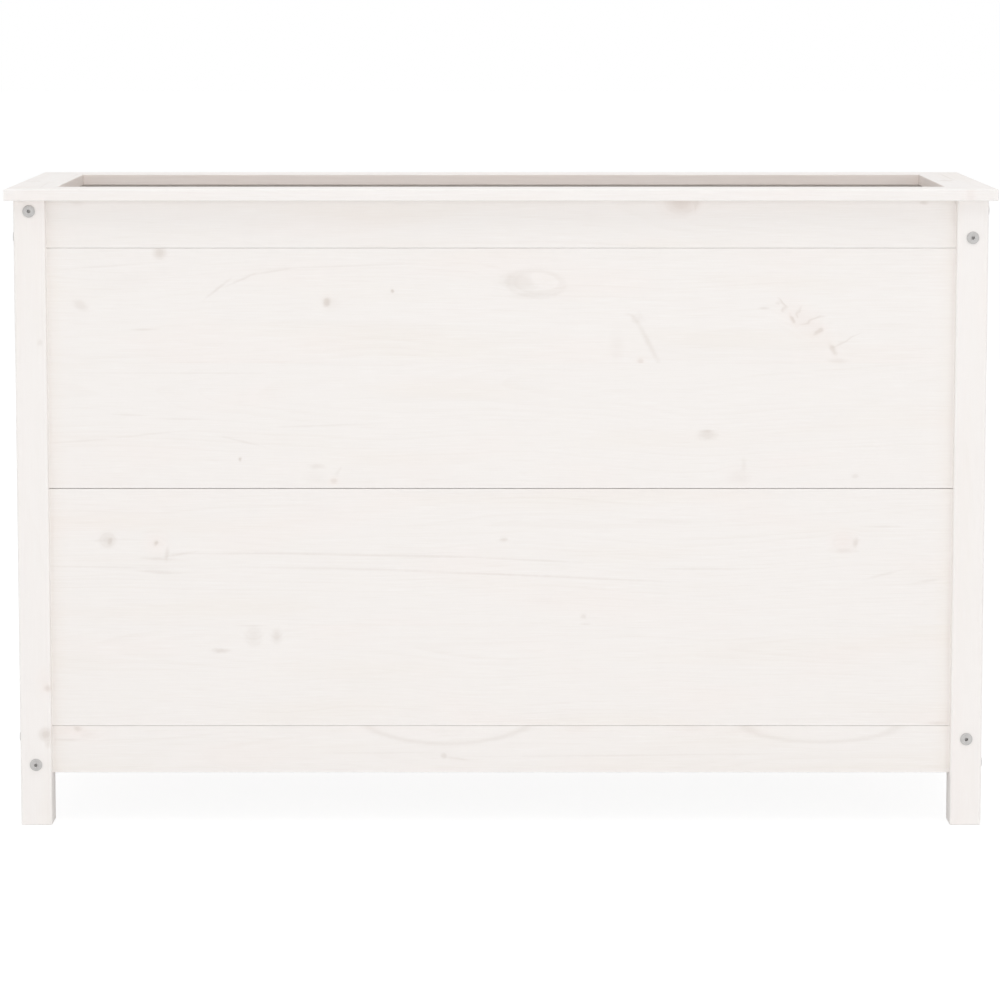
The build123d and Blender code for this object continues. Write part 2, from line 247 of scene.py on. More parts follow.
lower_board_streaks = [
    Streak(-456, 352, 22, 1.5, 0, 0.16),
    Streak(-490, 351, 8, 1.8, 0, 0.20),
    Streak(-407, 334, 2.6, 8, -8, 0.45),
    Streak(-418, 328.5, 21, 2.0, -3, 0.38),
    Streak(-417, 312, 22, 2.2, -4, 0.36),
    Streak(-404, 321, 40, 13, 0, 0.06),
    Streak(418, 338, 14, 2.6, 0, 0.28),
    Streak(-304, 246, 16, 1.6, 0, 0.22),
    Streak(-392, 334, 18, 1.5, 9, 0.36),
    Streak(-290, 335, 95, 1.3, 0, 0.38),
    Streak(-116, 332, 95, 1.4, -1, 0.38),
    Streak(35, 327, 65, 1.2, -2.5, 0.28),
    Streak(-480, 318, 62, 1.2, -1, 0.26),
    Streak(-190, 316, 95, 1.5, -1.2, 0.30),
    Streak(-25, 310, 78, 1.3, -2, 0.32),
    Streak(95, 305, 98, 1.4, -2.5, 0.32),
    Streak(241, 316, 50, 1.3, 0, 0.30),
    Streak(203, 374, 30, 4, 0, 0.12),
    Streak(465, 368, 22, 1.2, 0, 0.30),
    Streak(466, 309, 20, 1.6, 14, 0.26),
    Streak(520, 301, 16, 2, 10, 0.26),
    Streak(103, 247, 6, 3, 0, 0.26),
]
bottom_rail_knots = [
    Knot(-528, 118, 14, 7, 0, 0.0, 0.1, 1.0),
    Knot(-518, 118, 6, 4, 0, 0.0, 0.6, 0.3),
    Knot(-506, 112, 12, 7, 0, 0.0, 0.14, 0.3),
    Knot(-70, 85, 5, 4.5, 0, 0.0, 0.55, 0.0),
    Knot(95, 119, 20, 5, 0, 0.0, 0.12, 0.5),
    Knot(230, 119, 26, 6, 0, 0.0, 0.14, 0.5),
    Knot(300, 118, 30, 6, 0, 0.0, 0.12, 0.4),
]
bottom_rail_streaks = [
    Streak(-530, 104.5, 16, 1.3, 0, 0.35),
    Streak(-54, 81, 14, 1.4, -8, 0.28),
    Streak(-150, 88, 62, 1.2, 0.5, 0.20),
    Streak(155, 85, 155, 1.2, 0.6, 0.24),
]
bottom_rail_loops = [
    Loop(-66, 140, 111, 40.5, 0, 2.4, 0.32),
    Loop(392, 125, 94, 23.5, 0, 2.2, 0.26),
]
left_leg_knots = [
    Knot(594, -557, 5, 4, 0, 0.0, 0.35, 0.0),
    Knot(170, -553, 5, 5, 0, 0.0, 0.7, 0.7),
    Knot(178, -556, 14, 9, 0, 0.0, 0.08, 0.7),
    Knot(113, -556, 8, 8, 0, 0.30, 0.9, 0.2),
    Knot(101, -553, 5, 4, 0, 0.2, 0.4, 0.0),
]
front_cap_knots = [
    Knot(564, -199, 6, 5, 0, 0.0, 0.15, 0.8),
]
seen_marks = {
    "front_top_rail": (top_rail_knots, top_rail_streaks, []),
    "front_upper_board": (upper_board_knots, upper_board_streaks, upper_board_loops),
    "front_lower_board": (lower_board_knots, lower_board_streaks, []),
    "front_bottom_rail": (bottom_rail_knots, bottom_rail_streaks, bottom_rail_loops),
    "leg_front_left": (left_leg_knots, [], []),
    "leg_front_right": ([], [], []),
    "cap_front": (front_cap_knots, [], []),
}

# A knot's figure by distance from its centre, in its own sizes: its rims, core, stain and push
knot_reach = 2.0
knot_profile = [
    (0.00, 0.00, 1.00, 1.00, 1.00),
    (0.40, 0.00, 0.86, 0.95, 0.95),
    (0.75, 0.35, 0.42, 0.80, 0.82),
    (1.00, 1.00, 0.12, 0.62, 0.62),
    (1.25, 0.30, 0.03, 0.44, 0.45),
    (1.60, 0.00, 0.00, 0.22, 0.22),
    (2.00, 0.00, 0.00, 0.00, 0.00),
]

# How rough marks are: knots and loops in millimetres, streaks as a share of their size
knot_wobble = 1.5
loop_wobble = 0.8
streak_wobble = 0.35

# How much of a knot's rim shows on average, and how much of it comes and goes
rim_level = 0.8
rim_waver = 0.6

# How far out a streak fades, in its own sizes. Which streaks are crooked, by the least tilt in degrees and
# by their half length, and how far they bend, in millimetres
streak_reach = 1.7
crooked_tilt = 15.0
crooked_below = 16.0
bend_reach = 6.0

# A knot pushes the rings out by this share of its height. All marks go right through the timber
ring_push = 0.7
right_through = 1e6

# Timbers that no list describes: how many knots they may have, and the largest, in millimetres
chance_knots = {"board": (4, 8, 17.0), "rail": (1, 4, 11.0), "cap": (1, 3, 9.0), "leg": (0, 2, 8.0),
                "slat": (1, 3, 10.0), "cleat": (0, 2, 8.0)}

# Their knots: how far out they may lie, as a share of the half sizes, their size as a share of the largest,
# how many are ringed, and how the ringed and the plain ones are made
knot_spread = 0.95
knot_sizes = (0.2, 1.0)
ringed_chance = 0.4
ringed_rims = (0.4, 0.8)
ringed_cores = (0.1, 0.25)
ringed_stretch = (1.0, 2.2)
plain_cores = (0.35, 0.8)
plain_shape = (0.6, 0.5)
knot_tilt = 20
knot_stains = (0, 0.8)

# Their streaks
streak_counts = (3, 7)
streak_spread = 0.9
streak_lengths = (12, 90)
streak_height = 1.6
streak_tilt = 3
streak_darks = (0.12, 0.28)

# Broad boards are glued up of two staves. The height of the joint where it is known, how far it may lie off
# the middle elsewhere, its width, how sharply one stave ends, and how far off in the noise the next is cut
glue_lines = {"front_upper_board": 568.0}
glue_spread = 35
glue_width = 0.45
glue_blend = 0.1
stave_shift = (700.0, 90.0, 60.0)
log_spread = 4000

# Metal: its cloudy patches and its scratches
cloud_patch = (6.0, 6.0)
cloud_rise = (-0.6, 0.6)
cloud_dulls = 0.08
cloud_relief = 0.01
scratch_patch = (9.0, 0.35)
scratch_dulls = 0.06
scratch_relief = 0.004

# Dowel wood: its ground and its pores
dowel_light = (0.66, 0.47, 0.29)
dowel_dark = (0.58, 0.39, 0.23)
dowel_roughness = 0.62
drift_patch = (60.0, 12.0)
drift_rise = (-0.5, 0.5)
pore_brown = (0.36, 0.21, 0.11)
pore_patch = (8.0, 0.6)
pore_rise = (0.2, 0.5)
pore_share = 0.35
pore_relief = -0.04


class Graph:
    """Adds nodes to a node tree, with one short method for each kind that the finishes use."""

    def __init__(self, tree):
        self.tree = tree

    def node(self, kind, **settings):
        made = self.tree.nodes.new(kind)
        for name, value in settings.items():
            setattr(made, name, value)
        return made

    def feed(self, socket, value):
        """Links another node's output to a socket, or sets the socket to a plain value."""
        if isinstance(value, bpy.types.NodeSocket):
            self.tree.links.new(value, socket)
        else:
            socket.default_value = value

    def feed_all(self, sockets, values):
        for socket, value in zip(sockets, values):
            self.feed(socket, value)

    def math(self, operation, *values):
        made = self.node("ShaderNodeMath", operation=operation)
        self.feed_all(made.inputs, values)
        return made.outputs["Value"]

    def total(self, first, *others):
        for value in others:
            first = self.math("ADD", first, value)
        return first

    def product(self, first, *others):
        for value in others:
            first = self.math("MULTIPLY", first, value)
        return first

    def vector(self, operation, *values):
        made = self.node("ShaderNodeVectorMath", operation=operation)
        self.feed_all(made.inputs, values)
        return made.outputs["Value" if operation == "LENGTH" else "Vector"]

    def split(self, vector):
        made = self.node("ShaderNodeSeparateXYZ")
        self.feed(made.inputs[0], vector)
        return made.outputs

    def join(self, *values):
        made = self.node("ShaderNodeCombineXYZ")
        self.feed_all(made.inputs, values)
        return made.outputs[0]

    def ramp(self, value, start, end):
        """0 before start, 1 past end, and a smooth rise between them. It falls if end is the lower."""
        made = self.node("ShaderNodeMapRange", interpolation_type="SMOOTHSTEP")
        for name, given in (("Value", value), ("From Min", start), ("From Max", end)):
            self.feed(made.inputs[name], given)
        return made.outputs["Result"]

    def bell(self, value, middle, width):
        """1 at middle, and next to nothing two widths away from it."""
        off = self.math("DIVIDE", self.math("SUBTRACT", value, middle), width)
        return self.math("EXPONENT", self.product(off, off, -1.0))

    def noise(self, place, along, across, detail=0.0):
        """Noise between -1 and 1, in patches of this length along and across the grain."""
        made = self.node("ShaderNodeTexNoise")
        self.feed(made.inputs["Vector"], self.vector("DIVIDE", place, (along, across, across)))
        self.feed(made.inputs["Scale"], 1.0)
        self.feed(made.inputs["Detail"], detail)
        return self.math("MULTIPLY_ADD", made.outputs[0], 2.0, -1.0)

    def wander(self, along, length, start):
        """Noise between -1 and 1 along a line, in stretches of this length."""
        made = self.node("ShaderNodeTexNoise", noise_dimensions="1D")
        self.feed(made.inputs["W"], self.math("MULTIPLY_ADD", along, 1.0 / length, start))
        self.feed(made.inputs["Scale"], 1.0)
        self.feed(made.inputs["Detail"], 1.0)
        return self.math("MULTIPLY_ADD", made.outputs[0], 2.0, -1.0)

    def mix(self, share, first, second):
        made = self.node("ShaderNodeMix", data_type="RGBA")
        sockets = {socket.identifier: socket for socket in made.inputs}
        self.feed(sockets["Factor_Float"], share)
        for name, colour in (("A_Color", first), ("B_Color", second)):
            self.feed(sockets[name], opaque(colour))
        return next(socket for socket in made.outputs if socket.identifier == "Result_Color")

    def use(self, group, **values):
        """Adds a node group, feeds its inputs by name and gives its outputs."""
        made = self.node("ShaderNodeGroup", node_tree=group)
        for name, value in values.items():
            self.feed(made.inputs[name], value)
        return made.outputs


def opaque(colour):
    return (*colour, 1.0) if isinstance(colour, tuple) and len(colour) == 3 else colour


def new_group(name, inputs, outputs):
    """An empty node group, with its inputs and outputs given as {name: kind of socket}."""
    tree = bpy.data.node_groups.new(name, "ShaderNodeTree")
    for side, sockets in (("INPUT", inputs), ("OUTPUT", outputs)):
        for socket, kind in sockets.items():
            tree.interface.new_socket(socket, in_out=side, socket_type="NodeSocket" + kind)
    graph = Graph(tree)
    return graph, graph.node("NodeGroupInput").outputs, graph.node("NodeGroupOutput").inputs


def new_material(name):
    """A material with an empty node tree, and the graph that fills it."""
    material = bpy.data.materials.new(name)
    material.use_nodes = True
    material.node_tree.nodes.clear()
    return material, Graph(material.node_tree)


def surface(graph, **sockets):
    """Ends a finish: a Principled shader, with its sockets given by their names in lower case."""
    shader = graph.node("ShaderNodeBsdfPrincipled")
    by_name = {socket.name.lower().replace(" ", "_"): socket for socket in shader.inputs}
    for name, value in sockets.items():
        graph.feed(by_name[name], opaque(value))
    output = graph.node("ShaderNodeOutputMaterial")
    graph.feed(output.inputs["Surface"], shader.outputs[0])


def relief(graph, height):
    """A bump normal from a height in millimetres."""
    bump = graph.node("ShaderNodeBump")
    graph.feed(bump.inputs["Height"], height)
    bump.inputs["Distance"].default_value = 1 / mm_per_metre
    bump.inputs["Strength"].default_value = 1.0
    return bump.outputs["Normal"]


def ring_group():
    """Growth rings round a pith that wanders along the timber, so that its faces cut them in arches.
    pith holds its place across, its place deep, and how fast it climbs along the timber."""
    graph, given, result = new_group(
        "growth_rings",
        {"grain": "Vector", "drawn": "Vector", "pith": "Vector", "spacing": "Float", "lift": "Float"},
        {"line": "Float", "band": "Float"},
    )
    along, across, deep = graph.split(given["grain"])
    pith_across, pith_deep, climb = graph.split(given["pith"])
    lengthwise = graph.split(given["drawn"])[0]
    sideways = graph.product(graph.wander(lengthwise, sway_length, 0.0), sway_size)
    inward = graph.product(graph.wander(lengthwise, dive_length, dive_start), dive_size)
    off_across = graph.math("SUBTRACT", graph.math("SUBTRACT", across, pith_across), sideways)
    rise = graph.math("MULTIPLY_ADD", along, climb, pith_deep)
    off_deep = graph.math("SUBTRACT", graph.math("SUBTRACT", deep, rise), inward)
    radius = graph.vector("LENGTH", graph.join(off_across, off_deep, 0.0))
    ripple = graph.product(graph.noise(given["drawn"], *ripple_patch), ripple_size)
    count = graph.math("DIVIDE", graph.total(radius, ripple, given["lift"]), given["spacing"])
    phase = graph.math("FRACT", count)
    band = graph.product(graph.ramp(phase, *late_wood_rise), graph.ramp(phase, *late_wood_fall))
    year = graph.node("ShaderNodeTexWhiteNoise", noise_dimensions="1D")
    graph.feed(year.inputs["W"], graph.math("FLOOR", count))
    growth = graph.math("POWER", year.outputs["Value"], year_power)
    clear = graph.ramp(graph.noise(given["drawn"], *clear_patch), *clear_rise)
    strength = graph.product(
        graph.math("MULTIPLY_ADD", growth, 1.0 - faintest, faintest),
        graph.math("MULTIPLY_ADD", clear, 1.0 - faintest, faintest),
    )
    graph.feed(result["band"], band)
    graph.feed(result["line"], graph.product(band, strength))
    return graph.tree


def edge_group():
    """How near a point is to an edge of the timber, to its end and to its inner edge, from 0 to 1.
    mitre is 1 on a mitred timber. outer is 1 where the timber's low side across faces outwards, else -1."""
    graph, given, result = new_group(
        "edges",
        {"grain": "Vector", "half": "Vector", "mitre": "Float", "outer": "Float", "wobble": "Float"},
        {"near": "Float", "end": "Float", "inside": "Float"},
    )
    to_faces = graph.vector("SUBTRACT", given["half"], graph.vector("ABSOLUTE", given["grain"]))
    to_end, to_side, to_face = graph.split(to_faces)
    across = graph.split(given["grain"])[1]
    half_width = graph.split(given["half"])[1]
    from_outer = graph.math("MULTIPLY_ADD", across, given["outer"], half_width)
    to_end = graph.math("SUBTRACT", to_end, graph.product(from_outer, given["mitre"]))
    nearer = graph.math("MINIMUM", to_end, to_side)
    farther = graph.math("MAXIMUM", to_end, to_side)
    second = graph.math("MAXIMUM", nearer, graph.math("MINIMUM", farther, to_face))
    to_edge = graph.math("MULTIPLY_ADD", given["wobble"], edge_highlight_and_wear_waver, second)
    to_rough_end = graph.math("MULTIPLY_ADD", given["wobble"], end_shade_waver, to_end)
    inner_edge = graph.product(given["outer"], half_width)
    from_inner = graph.math("MULTIPLY_ADD", across, -1.0, inner_edge)
    # near drives a painted highlight along the edges, and also the wear there
    graph.feed(result["near"], graph.ramp(to_edge, *edge_highlight_and_wear_reach))
    # end drives painted shade at the ends of boards and rails, where they meet the legs
    graph.feed(result["end"], graph.ramp(to_rough_end, *end_shade_reach))
    # inside drives painted shade on the cap's inner edge
    graph.feed(result["inside"], graph.ramp(graph.math("ABSOLUTE", from_inner), *inner_shade_reach))
    return graph.tree


ring_tree = ring_group()
edge_tree = edge_group()


def grain_axes(name):
    """The frame's axes along a timber's grain, across its wide face and through it."""
    long_side = "front" in name or "back" in name
    if name.startswith("leg"):
        return (2, 0, 1)
    if name.startswith("slat"):
        return (1, 0, 2)
    if name.startswith("cleat"):
        return (0, 2, 1)
    if name.startswith("cap"):
        return (0, 1, 2) if long_side else (1, 0, 2)
    return (0, 2, 1) if long_side else (1, 2, 0)


def reach_of(graph, grain, mark, middle, sizes=1.0):
    """How far a point is from a mark's centre, as a share of the mark's size, or of several sizes."""
    placed = graph.node("ShaderNodeMapping", vector_type="TEXTURE")
    graph.feed(placed.inputs["Vector"], grain)
    graph.feed(placed.inputs["Location"], (mark.along - middle[0], mark.across - middle[1], 0.0))
    graph.feed(placed.inputs["Rotation"], (0.0, 0.0, math.radians(mark.tilt)))
    graph.feed(placed.inputs["Scale"], (mark.long * sizes, mark.high * sizes, right_through))
    return graph.vector("LENGTH", placed.outputs[0])


def knot_figure(graph, reach):
    """A knot's rim, core and stain as a vector, and its push on the rings."""
    made = graph.node("ShaderNodeValToRGB")
    stops = made.color_ramp.elements
    while len(stops) < len(knot_profile):
        stops.new(1.0)
    for stop, (place, rim, core, stain, push) in zip(stops, knot_profile):
        stop.position = place / knot_reach
        stop.color = (rim, core, stain, push)
    made.color_ramp.interpolation = "EASE"
    graph.feed(made.inputs[0], reach)
    return made.outputs


def add_marks(graph, grain, bent, wobble, middle, knots, streaks, loops):
    """Sums up a stave's marks: how dark they are, how stained, and how far they push the rings out.
    Short streaks that cross the grain are drawn in the bent space."""
    figure, push, dark = (0.0, 0.0, 0.0), 0.0, 0.0
    for knot in knots:
        reach = reach_of(graph, grain, knot, middle, knot_reach)
        rough_reach = graph.math("MULTIPLY_ADD", wobble, knot_wobble / (knot.high * knot_reach), reach)
        shape, bulge = knot_figure(graph, rough_reach)
        figure = graph.vector("MULTIPLY_ADD", shape, (knot.rim, knot.core, knot.stain), figure)
        push = graph.math("MULTIPLY_ADD", bulge, ring_push * knot.high, push)
    for streak in streaks:
        crooked = abs(streak.tilt) > crooked_tilt and streak.long < crooked_below
        reach = reach_of(graph, bent if crooked else grain, streak, middle)
        rough_reach = graph.math("MULTIPLY_ADD", wobble, streak_wobble, reach)
        dark = graph.math("MULTIPLY_ADD", graph.ramp(rough_reach, streak_reach, 0.0), streak.dark, dark)
    for loop in loops:
        reach = reach_of(graph, grain, loop, middle)
        off_line = graph.product(graph.math("SUBTRACT", reach, 1.0), loop.high)
        rough_line = graph.math("MULTIPLY_ADD", wobble, loop_wobble, off_line)
        dark = graph.math("MULTIPLY_ADD", graph.bell(rough_line, 0.0, loop.line), loop.dark, dark)
    rims, cores, stain = graph.split(figure)
    broken_rims = graph.product(rims, graph.math("MULTIPLY_ADD", wobble, rim_waver, rim_level))
    return graph.total(broken_rims, cores, dark), stain, push


def timber_kind(name):
    for kind in ("slat", "cleat", "leg", "cap", "rail"):
        if kind in name:
            return kind
    return "board"


def random_marks(name, middle, half):
    """Seeded knots and streaks for a timber, in the bed's frame: middle and half are its own sizes."""
    rng = random.Random("knots of " + name)
    fewest, most, largest = chance_knots[timber_kind(name)]
    knots = []
    streaks = []
    for _ in range(rng.randint(fewest, most)):
        along = middle[0] + rng.uniform(-knot_spread, knot_spread) * half[0]
        across = middle[1] + rng.uniform(-knot_spread, knot_spread) * half[1]
        knots.append(random_knot(rng, along, across, largest))
    for _ in range(rng.randint(*streak_counts)):
        along = middle[0] + rng.uniform(-streak_spread, streak_spread) * half[0]
        across = middle[1] + rng.uniform(-knot_spread, knot_spread) * half[1]
        length = rng.uniform(*streak_lengths)
        tilt = rng.uniform(-streak_tilt, streak_tilt)
        streaks.append(Streak(along, across, length, streak_height, tilt, rng.uniform(*streak_darks)))
    return knots, streaks, []


def random_knot(rng, along, across, largest):
    """A long ringed knot or a small plain one."""
    high = rng.uniform(*knot_sizes) * largest
    ringed = rng.random() < ringed_chance
    rim = rng.uniform(*ringed_rims) if ringed else 0.0
    core = rng.uniform(*ringed_cores) if ringed else rng.uniform(*plain_cores)
    if ringed:
        size = (high * rng.uniform(*ringed_stretch), high)
    else:
        size = (high * plain_shape[0], high * plain_shape[1])
    tilt = rng.uniform(-knot_tilt, knot_tilt)
    return Knot(along, across, *size, tilt, rim, core, rng.uniform(*knot_stains))


def random_pith(rng, stave_middle, half):
    """Where the heart of a stave's log lies: across, deep, and how fast it climbs."""
    across = stave_middle + rng.uniform(-pith_off_middle, pith_off_middle) * half[1]
    deep = rng.choice((-1, 1)) * (half[2] + rng.uniform(*pith_past_face))
    return (across, deep, rng.uniform(-pith_climb, pith_climb))


def place_in_mm(graph):
    """A point's place in the bed's frame, in millimetres."""
    place = graph.node("ShaderNodeTexCoord").outputs["Object"]
    return graph.vector("MULTIPLY", place, (mm_per_metre,) * 3)


def timber_box(name):
    """A timber's middle and its half sizes along, across and deep, in millimetres of the bed's frame."""
    low, high = (corner * mm_per_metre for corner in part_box(name))
    axes = grain_axes(name)
    middle = [(low[axis] + high[axis]) / 2 for axis in axes]
    half = [(high[axis] - low[axis]) / 2 for axis in axes]
    return middle, half


def grain_space(graph, name, middle):
    """How far a point is from a timber's middle: along, across and deep."""
    parts = graph.split(place_in_mm(graph))
    turned = graph.join(*(parts[axis] for axis in grain_axes(name)))
    return graph.vector("SUBTRACT", turned, middle)


# upper and lower are 1 on that stave, joint is the glue line's place across, glue is 1 on that line, drawn
# is the space that the noise is cut from, and pith is what the growth rings need
Staves = namedtuple("Staves", "upper lower joint glue drawn pith")


def cut_staves(graph, rng, name, grain, middle, half):
    """The staves of a timber: two on a broad board, each from its own log, and one elsewhere."""
    elsewhere = [rng.uniform(-log_spread, log_spread) for _ in range(3)]
    joint = glue_lines.get(name, middle[1] + rng.uniform(-glue_spread, glue_spread)) - middle[1]
    if timber_kind(name) == "board":
        across = graph.split(grain)[1]
        upper = graph.ramp(across, joint - glue_blend, joint + glue_blend)
        lower = graph.math("SUBTRACT", 1.0, upper)
        glue = graph.bell(across, joint, glue_width)
        stave_middles = ((joint - half[1]) / 2, (joint + half[1]) / 2)
    else:
        joint, upper, lower, glue = math.inf, 1.0, 1.0, 0.0
        stave_middles = (0.0, 0.0)
    is_upper = graph.join(upper, upper, upper)
    drawn = graph.vector("ADD", grain, graph.vector("MULTIPLY_ADD", is_upper, stave_shift, elsewhere))
    pith_below, pith_above = (random_pith(rng, stave_middle, half) for stave_middle in stave_middles)
    step = [above - below for above, below in zip(pith_above, pith_below)]
    pith = graph.vector("MULTIPLY_ADD", is_upper, step, pith_below)
    return Staves(upper, lower, joint, glue, drawn, pith)


def mark_timber(graph, name, grain, staves, wobble, middle, half):
    """All a timber's marks, each kept to its own stave: how dark and stained they are, and their push."""
    bend = graph.noise(staves.drawn, *bend_patch)
    bent = graph.vector("MULTIPLY_ADD", graph.join(bend, bend, 0.0), (bend_reach,) * 3, grain)
    marks = seen_marks.get(name) or random_marks(name, middle, half)
    joint = middle[1] + staves.joint
    below, above = (
        [[mark for mark in kinds if (mark.across > joint) == is_above] for kinds in marks]
        for is_above in (False, True)
    )
    under = add_marks(graph, grain, bent, wobble, middle, *below)
    if timber_kind(name) != "board":
        return under
    over = add_marks(graph, grain, bent, wobble, middle, *above)
    return [
        graph.total(graph.product(low, staves.lower), graph.product(high, staves.upper))
        for low, high in zip(under, over)
    ]


# What shows through the paint: the rings' lines and bands, dashes, fibre, and tan and pink patches
Figure = namedtuple("Figure", "line band dashes fibre tan pink")


def grain_figure(graph, rng, grain, staves, lift):
    """Draws the grain of a timber's staves. lift is how far its knots push the rings out."""
    drawn = staves.drawn
    spacing = rng.uniform(*ring_spacing)
    rings = graph.use(ring_tree, grain=grain, drawn=drawn, pith=staves.pith, spacing=spacing, lift=lift)
    dashes = graph.noise(drawn, *dash_patch)
    fibre = graph.noise(drawn, *fibre_patch, detail=1.0)
    tan = graph.ramp(graph.noise(drawn, *tan_patch), *tint_rise)
    pink = graph.ramp(graph.noise(graph.vector("ADD", drawn, pink_shift), *pink_patch), *tint_rise)
    return Figure(rings["line"], rings["band"], dashes, fibre, tan, pink)


def timber_edges(graph, name, grain, half, wobble):
    """How near a point is to the timber's edges. The cap's boards are mitred."""
    mitred = 1.0 if timber_kind(name) == "cap" else 0.0
    outer = -1.0 if name in ("cap_back", "cap_right") else 1.0
    return graph.use(edge_tree, grain=grain, half=half, mitre=mitred, outer=outer, wobble=wobble)


def timber_colour(graph, kind, coat, figure, edges, staves, dark, stain):
    """The paint's colour, taken in turn towards what shows through it, a painted highlight on the edges,
    and painted shade at the ends and on the cap's inner edge.
    """
    shade = graph.total(
        graph.product(figure.line, ring_share * coat.grain),
        graph.product(graph.ramp(figure.dashes, *dark_dash_rise), dash_share * coat.grain),
        graph.product(graph.math("MAXIMUM", figure.fibre, 0.0), fibre_share * coat.grain),
        graph.product(staves.glue, glue_share),
    )
    pale_dash = graph.ramp(figure.dashes, *pale_dash_rise)
    worn = graph.product(edges["near"], graph.ramp(graph.noise(staves.drawn, *worn_patch), *worn_rise))
    layers = [
        (figure.tan, tan_share * coat.grain, tan_tone_and_end_shade),
        (figure.pink, pink_share * coat.grain, wood_pink),
        (pale_dash, pale_dash_share * coat.grain, pale_grain_and_edge_highlight),
        (shade, 1.0, wood_shadow),
        (graph.math("MINIMUM", stain, 1.0), stain_share, wood_pink),
        (graph.math("MINIMUM", dark, 1.0), knot_share, knot_brown),
        # Painted highlight: the edges turn paler
        (edges["near"], painted_edge_highlight_share, pale_grain_and_edge_highlight),
        (worn, worn_share, bare_wood),
    ]
    # Painted shade: boards and rails darken towards their ends, where they meet the legs
    if kind in ("board", "rail"):
        layers.append((edges["end"], painted_end_shade_share, tan_tone_and_end_shade))
    # Painted shade: the cap's inner edge turns darker and warmer
    if kind == "cap":
        layers.append((edges["inside"], painted_inner_shade_share, painted_inner_shade))
    colour = coat.colour
    for amount, share, towards in layers:
        colour = graph.mix(graph.product(amount, share), colour, towards)
    return colour


def timber_height(graph, coat, figure, staves):
    """The relief of the grain, the glue line and the brushed paint, in millimetres."""
    stipple = graph.noise(staves.drawn, *stipple_patch)
    return graph.total(
        graph.product(figure.band, ring_ridge * coat.grain),
        graph.product(figure.fibre, fibre_relief * coat.grain),
        graph.product(figure.dashes, fibre_relief * coat.grain),
        graph.product(staves.glue, -glue_step),
        graph.product(stipple, paint_stipple),
    )


def painted_timber(name):
    """The paint of one timber, with its own rings, staves, knots and streaks."""
    kind = timber_kind(name)
    coat = coats[{"rail": "board", "slat": "floor", "cleat": "floor"}.get(kind, kind)]
    middle, half = timber_box(name)
    rng = random.Random("rings of " + name)
    material, graph = new_material(name + "_paint")
    grain = grain_space(graph, name, middle)
    staves = cut_staves(graph, rng, name, grain, middle, half)
    wobble = graph.noise(staves.drawn, *wobble_patch, detail=1.0)
    dark, stain, lift = mark_timber(graph, name, grain, staves, wobble, middle, half)
    figure = grain_figure(graph, rng, grain, staves, lift)
    edges = timber_edges(graph, name, grain, half, wobble)
    colour = timber_colour(graph, kind, coat, figure, edges, staves, dark, stain)
    roughness = graph.total(
        graph.product(figure.fibre, fibre_dulls),
        graph.product(figure.tan, tan_dulls),
        graph.product(dark, knot_dulls),
        graph.product(edges["near"], edge_dulls),
        coat.roughness,
    )
    normal = relief(graph, timber_height(graph, coat, figure, staves))
    surface(graph, base_color=colour, roughness=roughness, specular_ior_level=paint_sheen, normal=normal)
    return material


def metal(name, colour, haze, roughness, metallic=1.0):
    """Bare or plated steel: a little cloudy, with fine scratches."""
    material, graph = new_material(name)
    place = place_in_mm(graph)
    cloud = graph.noise(place, *cloud_patch, detail=3.0)
    scratches = graph.noise(place, *scratch_patch, detail=2.0)
    shade = graph.mix(graph.ramp(cloud, *cloud_rise), colour, haze)
    dulled = graph.total(graph.product(cloud, cloud_dulls), graph.product(scratches, scratch_dulls))
    gloss = graph.total(dulled, roughness)
    height = graph.total(graph.product(scratches, scratch_relief), graph.product(cloud, cloud_relief))
    surface(graph, base_color=shade, metallic=metallic, roughness=gloss, normal=relief(graph, height))
    return material


def beech(name):
    """Bare dowel wood: fine pores along a warm pale ground."""
    material, graph = new_material(name)
    place = place_in_mm(graph)
    pores = graph.ramp(graph.noise(place, *pore_patch, detail=2.0), *pore_rise)
    drift = graph.ramp(graph.noise(place, *drift_patch), *drift_rise)
    ground = graph.mix(drift, dowel_light, dowel_dark)
    colour = graph.mix(graph.product(pores, pore_share), ground, pore_brown)
    normal = relief(graph, graph.product(pores, pore_relief))
    surface(graph, base_color=colour, roughness=dowel_roughness, normal=normal)
    return material


def dress(name, finish):
    """Gives a CAD node its finish in place of its packed colour."""
    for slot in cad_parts[name].material_slots:
        slot.material = finish


def seen_directly(graph):
    """1 for what the camera sees, straight, mirrored or through glass, and 0 for what lights the bed."""
    path = graph.node("ShaderNodeLightPath").outputs
    mirrored = graph.math("MAXIMUM", path["Is Glossy Ray"], path["Is Transmission Ray"])
    return graph.math("MAXIMUM", path["Is Camera Ray"], mirrored)


def make_floor():
    """A pale floor that looks white and keeps a faint shadow."""
    corners = [(-1, -1), (1, -1), (1, 1), (-1, 1)]
    mesh = bpy.data.meshes.new("floor")
    mesh.from_pydata([(x * floor_half, y * floor_half, 0) for x, y in corners], [], [(0, 1, 2, 3)])
    floor = bpy.data.objects.new("floor", mesh)
    bpy.context.scene.collection.objects.link(floor)
    material, graph = new_material("floor_white")
    bounce = graph.node("ShaderNodeBsdfDiffuse")
    shown = graph.node("ShaderNodeBsdfDiffuse")
    glow = graph.node("ShaderNodeEmission")
    for node, level in ((bounce, floor_bounce), (shown, floor_shown)):
        graph.feed(node.inputs["Color"], (level, level, level, 1.0))
    graph.feed(glow.inputs["Strength"], floor_white)
    both = graph.node("ShaderNodeAddShader")
    graph.feed_all(both.inputs, (shown.outputs[0], glow.outputs[0]))
    choice = graph.node("ShaderNodeMixShader")
    graph.feed_all(choice.inputs, (seen_directly(graph), bounce.outputs[0], both.outputs[0]))
    graph.feed(graph.node("ShaderNodeOutputMaterial").inputs["Surface"], choice.outputs[0])
    mesh.materials.append(material)


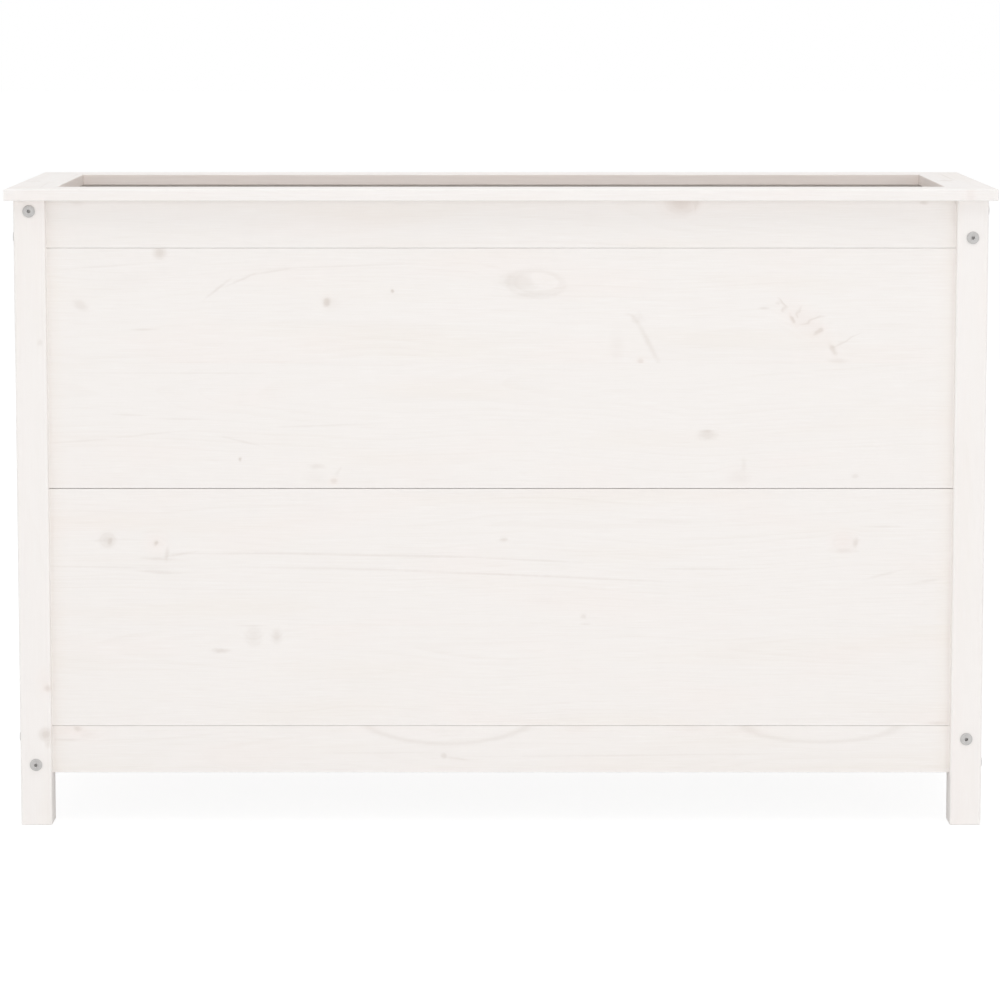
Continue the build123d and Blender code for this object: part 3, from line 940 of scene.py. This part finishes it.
def make_world():
    """White to look at. To be lit by, a dome that dims from the horizon up."""
    world = bpy.data.worlds.new("studio")
    world.use_nodes = True
    world.node_tree.nodes.clear()
    graph = Graph(world.node_tree)
    rise = graph.split(graph.node("ShaderNodeTexCoord").outputs["Generated"])[2]
    dome = graph.math("MULTIPLY_ADD", rise, zenith_level - horizon_level, horizon_level)
    seen = seen_directly(graph)
    level = graph.math("MULTIPLY_ADD", graph.math("SUBTRACT", 1.0, seen), dome, seen)
    background = graph.node("ShaderNodeBackground")
    graph.feed(background.inputs["Strength"], level)
    graph.feed(background.inputs["Color"], (1.0, 1.0, 1.0, 1.0))
    graph.feed(graph.node("ShaderNodeOutputWorld").inputs["Surface"], background.outputs[0])
    bpy.context.scene.world = world


def make_lamps():
    for name, (place, size, power) in lamps.items():
        data = bpy.data.lights.new(name, "AREA")
        data.size = size
        data.energy = power
        lamp = bpy.data.objects.new(name, data)
        lamp.location = place
        lamp.visible_glossy = False
        lamp.rotation_euler = (Vector(lamp_target) - Vector(place)).to_track_quat("-Z", "Y").to_euler()
        bpy.context.scene.collection.objects.link(lamp)


def make_camera():
    data = bpy.data.cameras.new("camera")
    data.lens = camera_lens
    data.sensor_width = camera_sensor
    data.shift_y = camera_shift
    data.clip_end = 3 * floor_half
    camera = bpy.data.objects.new("camera", data)
    camera.location = camera_place
    camera.rotation_euler = (math.radians(90 - camera_tilt), 0, 0)
    bpy.context.scene.collection.objects.link(camera)
    bpy.context.scene.camera = camera


steel = {"colour": (0.60, 0.58, 0.52), "haze": (0.50, 0.48, 0.43), "roughness": 0.38}
plain_finishes = {
    "connector_bolts": metal("bright_zinc", (0.59, 0.58, 0.57), (0.53, 0.52, 0.51), 0.56, metallic=0.6),
    "barrel_nuts": metal("dull_zinc", (0.55, 0.55, 0.55), (0.46, 0.46, 0.46), 0.42),
    "cleat_screws": metal("cleat_screw_steel", **steel),
    "slat_screws": metal("slat_screw_steel", **steel),
    "board_end_dowels": beech("board_dowel_beech"),
    "cap_dowels": beech("cap_dowel_beech"),
}
for name in sorted(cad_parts):
    dress(name, plain_finishes.get(name) or painted_timber(name))

make_floor()
make_world()
make_lamps()
make_camera()
bpy.context.scene.view_settings.view_transform = "Standard"
